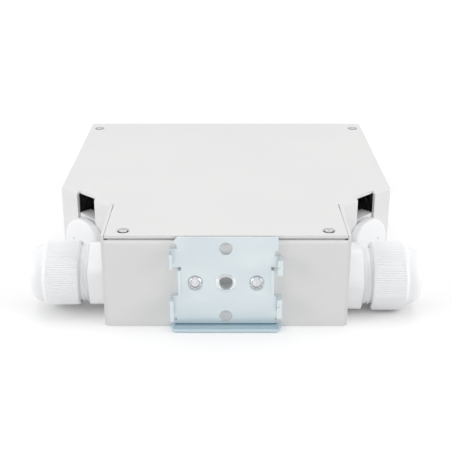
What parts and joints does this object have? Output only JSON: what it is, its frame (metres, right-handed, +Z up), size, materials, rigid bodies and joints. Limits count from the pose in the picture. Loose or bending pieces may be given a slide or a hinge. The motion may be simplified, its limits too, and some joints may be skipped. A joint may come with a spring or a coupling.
{
  "type": "din rail fibre box",
  "caption": "Flat sheet-steel fibre splice box with a narrow back, side cable glands, blind plugs on slanted walls, a rail clip behind and capped adapters in front.",
  "frame": {"origin": "middle of the box's footprint on the surface that it lies on, caps and rail clip included", "axes": "+Z up through the thickness, +Y from the rail clip towards the adapters, +X to the right when the rail clip is looked at"},
  "size_m": [0.1338, 0.1506, 0.033],
  "materials": {
    "coated_steel": "fine satin powder coat, near white",
    "zinc_steel": "bright zinc plate",
    "screw_steel": "nickel plate",
    "white_nylon": "moulded, soft sheen",
    "seal_rubber": "matt",
    "ceramic": "ground ceramic",
    "adapter_blue": "moulded, soft sheen",
    "cap_plastic": "soft moulded",
    "tray_plastic": "moulded",
    "clear_plastic": "clear sheet",
    "dark_plastic": "moulded",
    "sleeve_plastic": "heat-shrunk clear tube"
  },
  "bodies": {
    "case": {"base_tray": "coated_steel", "neck_frame": "coated_steel", "side_rails": "coated_steel", "front_panel": "coated_steel", "panel_screws": "screw_steel", "panel_nuts": "screw_steel", "din_clip": "zinc_steel", "clip_screws": "screw_steel", "clip_nuts": "screw_steel", "gland_body_left": "white_nylon", "gland_body_right": "white_nylon", "gland_seal_left": "seal_rubber", "gland_seal_right": "seal_rubber", "gland_locknut_left": "white_nylon", "gland_locknut_right": "white_nylon", "adapter_screws": "screw_steel", "adapter_nuts": "screw_steel", "alignment_sleeves": "ceramic", "splice_tray": "tray_plastic", "splice_combs": "dark_plastic", "splice_sleeves": "sleeve_plastic", "tray_studs": "screw_steel", "tray_nuts": "screw_steel", "clamp_posts": "screw_steel", "clamp_plates": "zinc_steel", "clamp_screws": "screw_steel", "adapter_1": "adapter_blue", "adapter_2": "adapter_blue", "adapter_3": "adapter_blue", "adapter_4": "adapter_blue", "adapter_5": "adapter_blue", "adapter_6": "adapter_blue"},
    "lid": {"lid": "coated_steel", "lid_screws": "screw_steel", "blind_plug_left": "white_nylon", "blind_plug_right": "white_nylon", "plug_locknut_left": "white_nylon", "plug_locknut_right": "white_nylon"},
    "gland_nut_left": {"gland_nut_left": "white_nylon"},
    "gland_nut_right": {"gland_nut_right": "white_nylon"},
    "tray_cover": {"tray_cover": "clear_plastic"},
    "dust_cap_1": {"dust_cap_1": "cap_plastic"},
    "dust_cap_2": {"dust_cap_2": "cap_plastic"},
    "dust_cap_3": {"dust_cap_3": "cap_plastic"},
    "dust_cap_4": {"dust_cap_4": "cap_plastic"},
    "dust_cap_5": {"dust_cap_5": "cap_plastic"},
    "dust_cap_6": {"dust_cap_6": "cap_plastic"}
  },
  "joints": [
    {"name": "lid_lift", "type": "slide", "parent": "case", "child": "lid", "axis": [0, 0, 1], "range_m": [0, 0.05]},
    {"name": "gland_nut_turn_left", "type": "hinge", "parent": "case", "child": "gland_nut_left", "pos_m": [-0.057, -0.0562, 0.0133], "axis": [-1, 0, 0], "range_deg": [0, 720]},
    {"name": "gland_nut_turn_right", "type": "hinge", "parent": "case", "child": "gland_nut_right", "pos_m": [0.057, -0.0562, 0.0121], "axis": [1, 0, 0], "range_deg": [0, 720]},
    {"name": "tray_cover_lift", "type": "slide", "parent": "case", "child": "tray_cover", "axis": [0, 0, 1], "range_m": [0, 0.012]},
    {"name": "dust_cap_pull_1", "type": "slide", "parent": "case", "child": "dust_cap_1", "axis": [0, 1, 0], "range_m": [0, 0.012]},
    {"name": "dust_cap_pull_2", "type": "slide", "parent": "case", "child": "dust_cap_2", "axis": [0, 1, 0], "range_m": [0, 0.012]},
    {"name": "dust_cap_pull_3", "type": "slide", "parent": "case", "child": "dust_cap_3", "axis": [0, 1, 0], "range_m": [0, 0.012]},
    {"name": "dust_cap_pull_4", "type": "slide", "parent": "case", "child": "dust_cap_4", "axis": [0, 1, 0], "range_m": [0, 0.012]},
    {"name": "dust_cap_pull_5", "type": "slide", "parent": "case", "child": "dust_cap_5", "axis": [0, 1, 0], "range_m": [0, 0.012]},
    {"name": "dust_cap_pull_6", "type": "slide", "parent": "case", "child": "dust_cap_6", "axis": [0, 1, 0], "range_m": [0, 0.012]}
  ]
}
